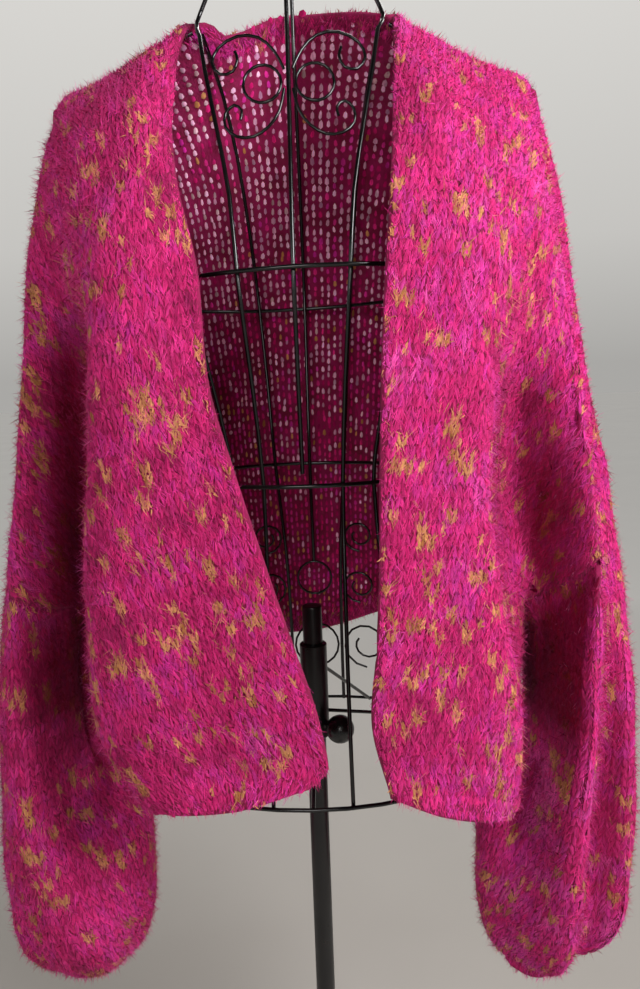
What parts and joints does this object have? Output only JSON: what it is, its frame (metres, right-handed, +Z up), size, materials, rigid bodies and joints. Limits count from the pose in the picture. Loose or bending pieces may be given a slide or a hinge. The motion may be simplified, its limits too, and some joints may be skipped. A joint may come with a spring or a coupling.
{
  "type": "open-front cardigan on a wire dress form",
  "caption": "Open-front knitted cardigan with wide gathered sleeves, hanging on a limbless black wire dress form on a pole stand with a round base.",
  "frame": {"origin": "centre of the round base's underside", "axes": "+Z up along the pole, -Y the way the open front faces, +X the wearer's left"},
  "size_m": [0.6049, 0.3039, 1.4538],
  "materials": {
    "knit": "brushed hairy knit with mustard flecks",
    "wire": "satin black paint",
    "stand": "satin black paint",
    "knob": "black plastic"
  },
  "bodies": {
    "stand": {"base": "stand", "pole": "stand"},
    "form": {"neck_ring": "wire", "bust_ring": "wire", "waist_ring": "wire", "hip_ring": "wire", "centre_front": "wire", "centre_back": "wire", "hip_loop_low": "wire", "hip_loop_high": "wire", "princess_front_left": "wire", "princess_back_left": "wire", "side_front_left": "wire", "shoulder_left": "wire", "chest_scroll_low_left": "wire", "chest_scroll_high_left": "wire", "chest_loop_left": "wire", "hip_scroll_low_left": "wire", "hip_scroll_mid_left": "wire", "hip_scroll_high_left": "wire", "strut_back_left": "wire", "strut_side_left": "wire", "princess_front_right": "wire", "princess_back_right": "wire", "side_front_right": "wire", "shoulder_right": "wire", "chest_scroll_low_right": "wire", "chest_scroll_high_right": "wire", "chest_loop_right": "wire", "hip_scroll_low_right": "wire", "hip_scroll_mid_right": "wire", "hip_scroll_high_right": "wire", "strut_back_right": "wire", "strut_side_right": "wire", "strut_front": "wire", "collar": "stand", "back": "knit", "front_left": "knit", "front_right": "knit", "sleeve_left": "knit", "sleeve_right": "knit"},
    "knob": {"knob": "knob"}
  },
  "joints": [
    {"name": "height", "type": "slide", "parent": "stand", "child": "form", "axis": [0, 0, 1], "range_m": [-0.2, 0.08]},
    {"name": "knob_turn", "type": "hinge", "parent": "form", "child": "knob", "pos_m": [0, 0, 0.775], "axis": [0.788, -0.6157, 0], "range_deg": [0, 720]}
  ]
}
